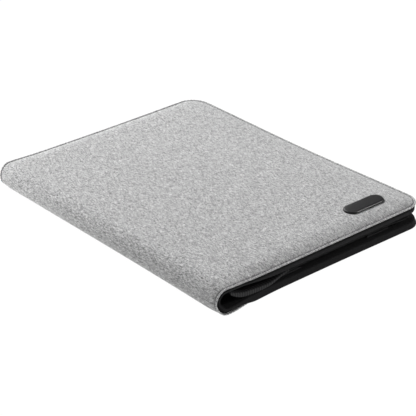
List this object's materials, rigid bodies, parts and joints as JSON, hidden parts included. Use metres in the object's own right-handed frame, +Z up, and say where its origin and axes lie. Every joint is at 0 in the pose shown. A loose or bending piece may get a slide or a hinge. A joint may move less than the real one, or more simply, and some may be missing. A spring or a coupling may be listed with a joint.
{
  "type": "tablet case",
  "caption": "Soft folio tablet case with a heathered fabric outside, rounded padded fold, black lining, elastic corner straps and an inner pocket, closed",
  "frame": {"origin": "centre of the footprint at the back cover's outer face, on the table, with the case closed", "axes": "+X from the fold to the free long edge, +Y along the fold away from the edge that has the name patch, +Z up from the back cover to the front cover"},
  "size_m": [0.205, 0.26, 0.0215],
  "materials": {
    "heather_fabric": "light grey heathered woven polyester, matt",
    "black_lining": "black woven polyester lining, matt",
    "foam": "thin grey padding, matt",
    "board": "grey-brown stiffener board, matt",
    "thread": "polyester sewing thread, slight sheen",
    "patch": "smooth black moulded patch, satin",
    "elastic": "black woven elastic, matt",
    "binding_tape": "black ribbed binding tape, slight sheen"
  },
  "bodies": {
    "back_cover": {"back_shell": "heather_fabric", "back_foam": "foam", "back_board": "board", "back_lining": "black_lining", "back_thread": "thread", "strap_fold_near": "elastic", "strap_fold_far": "elastic", "strap_edge_near": "elastic", "strap_edge_far": "elastic"},
    "spine": {"spine_shell": "heather_fabric", "spine_foam": "foam", "spine_lining": "black_lining", "spine_thread_near": "thread", "spine_thread_far": "thread"},
    "front_cover": {"front_shell": "heather_fabric", "front_foam": "foam", "front_board": "board", "front_lining": "black_lining", "front_thread": "thread", "name_patch": "patch", "document_pocket": "black_lining", "pocket_tape_near": "binding_tape", "pocket_tape_far": "binding_tape"}
  },
  "joints": [
    {"name": "back_fold", "type": "hinge", "parent": "back_cover", "child": "spine", "pos_m": [-0.10035, 0, 0.00215], "axis": [0, -1, 0], "range_deg": [0, 90]},
    {"name": "front_fold", "type": "hinge", "parent": "spine", "child": "front_cover", "pos_m": [-0.10035, 0, 0.01785], "axis": [0, -1, 0], "range_deg": [0, 90]}
  ],
  "couplings": [
    {"joint": "front_fold", "follows": "back_fold", "ratio": 1}
  ]
}
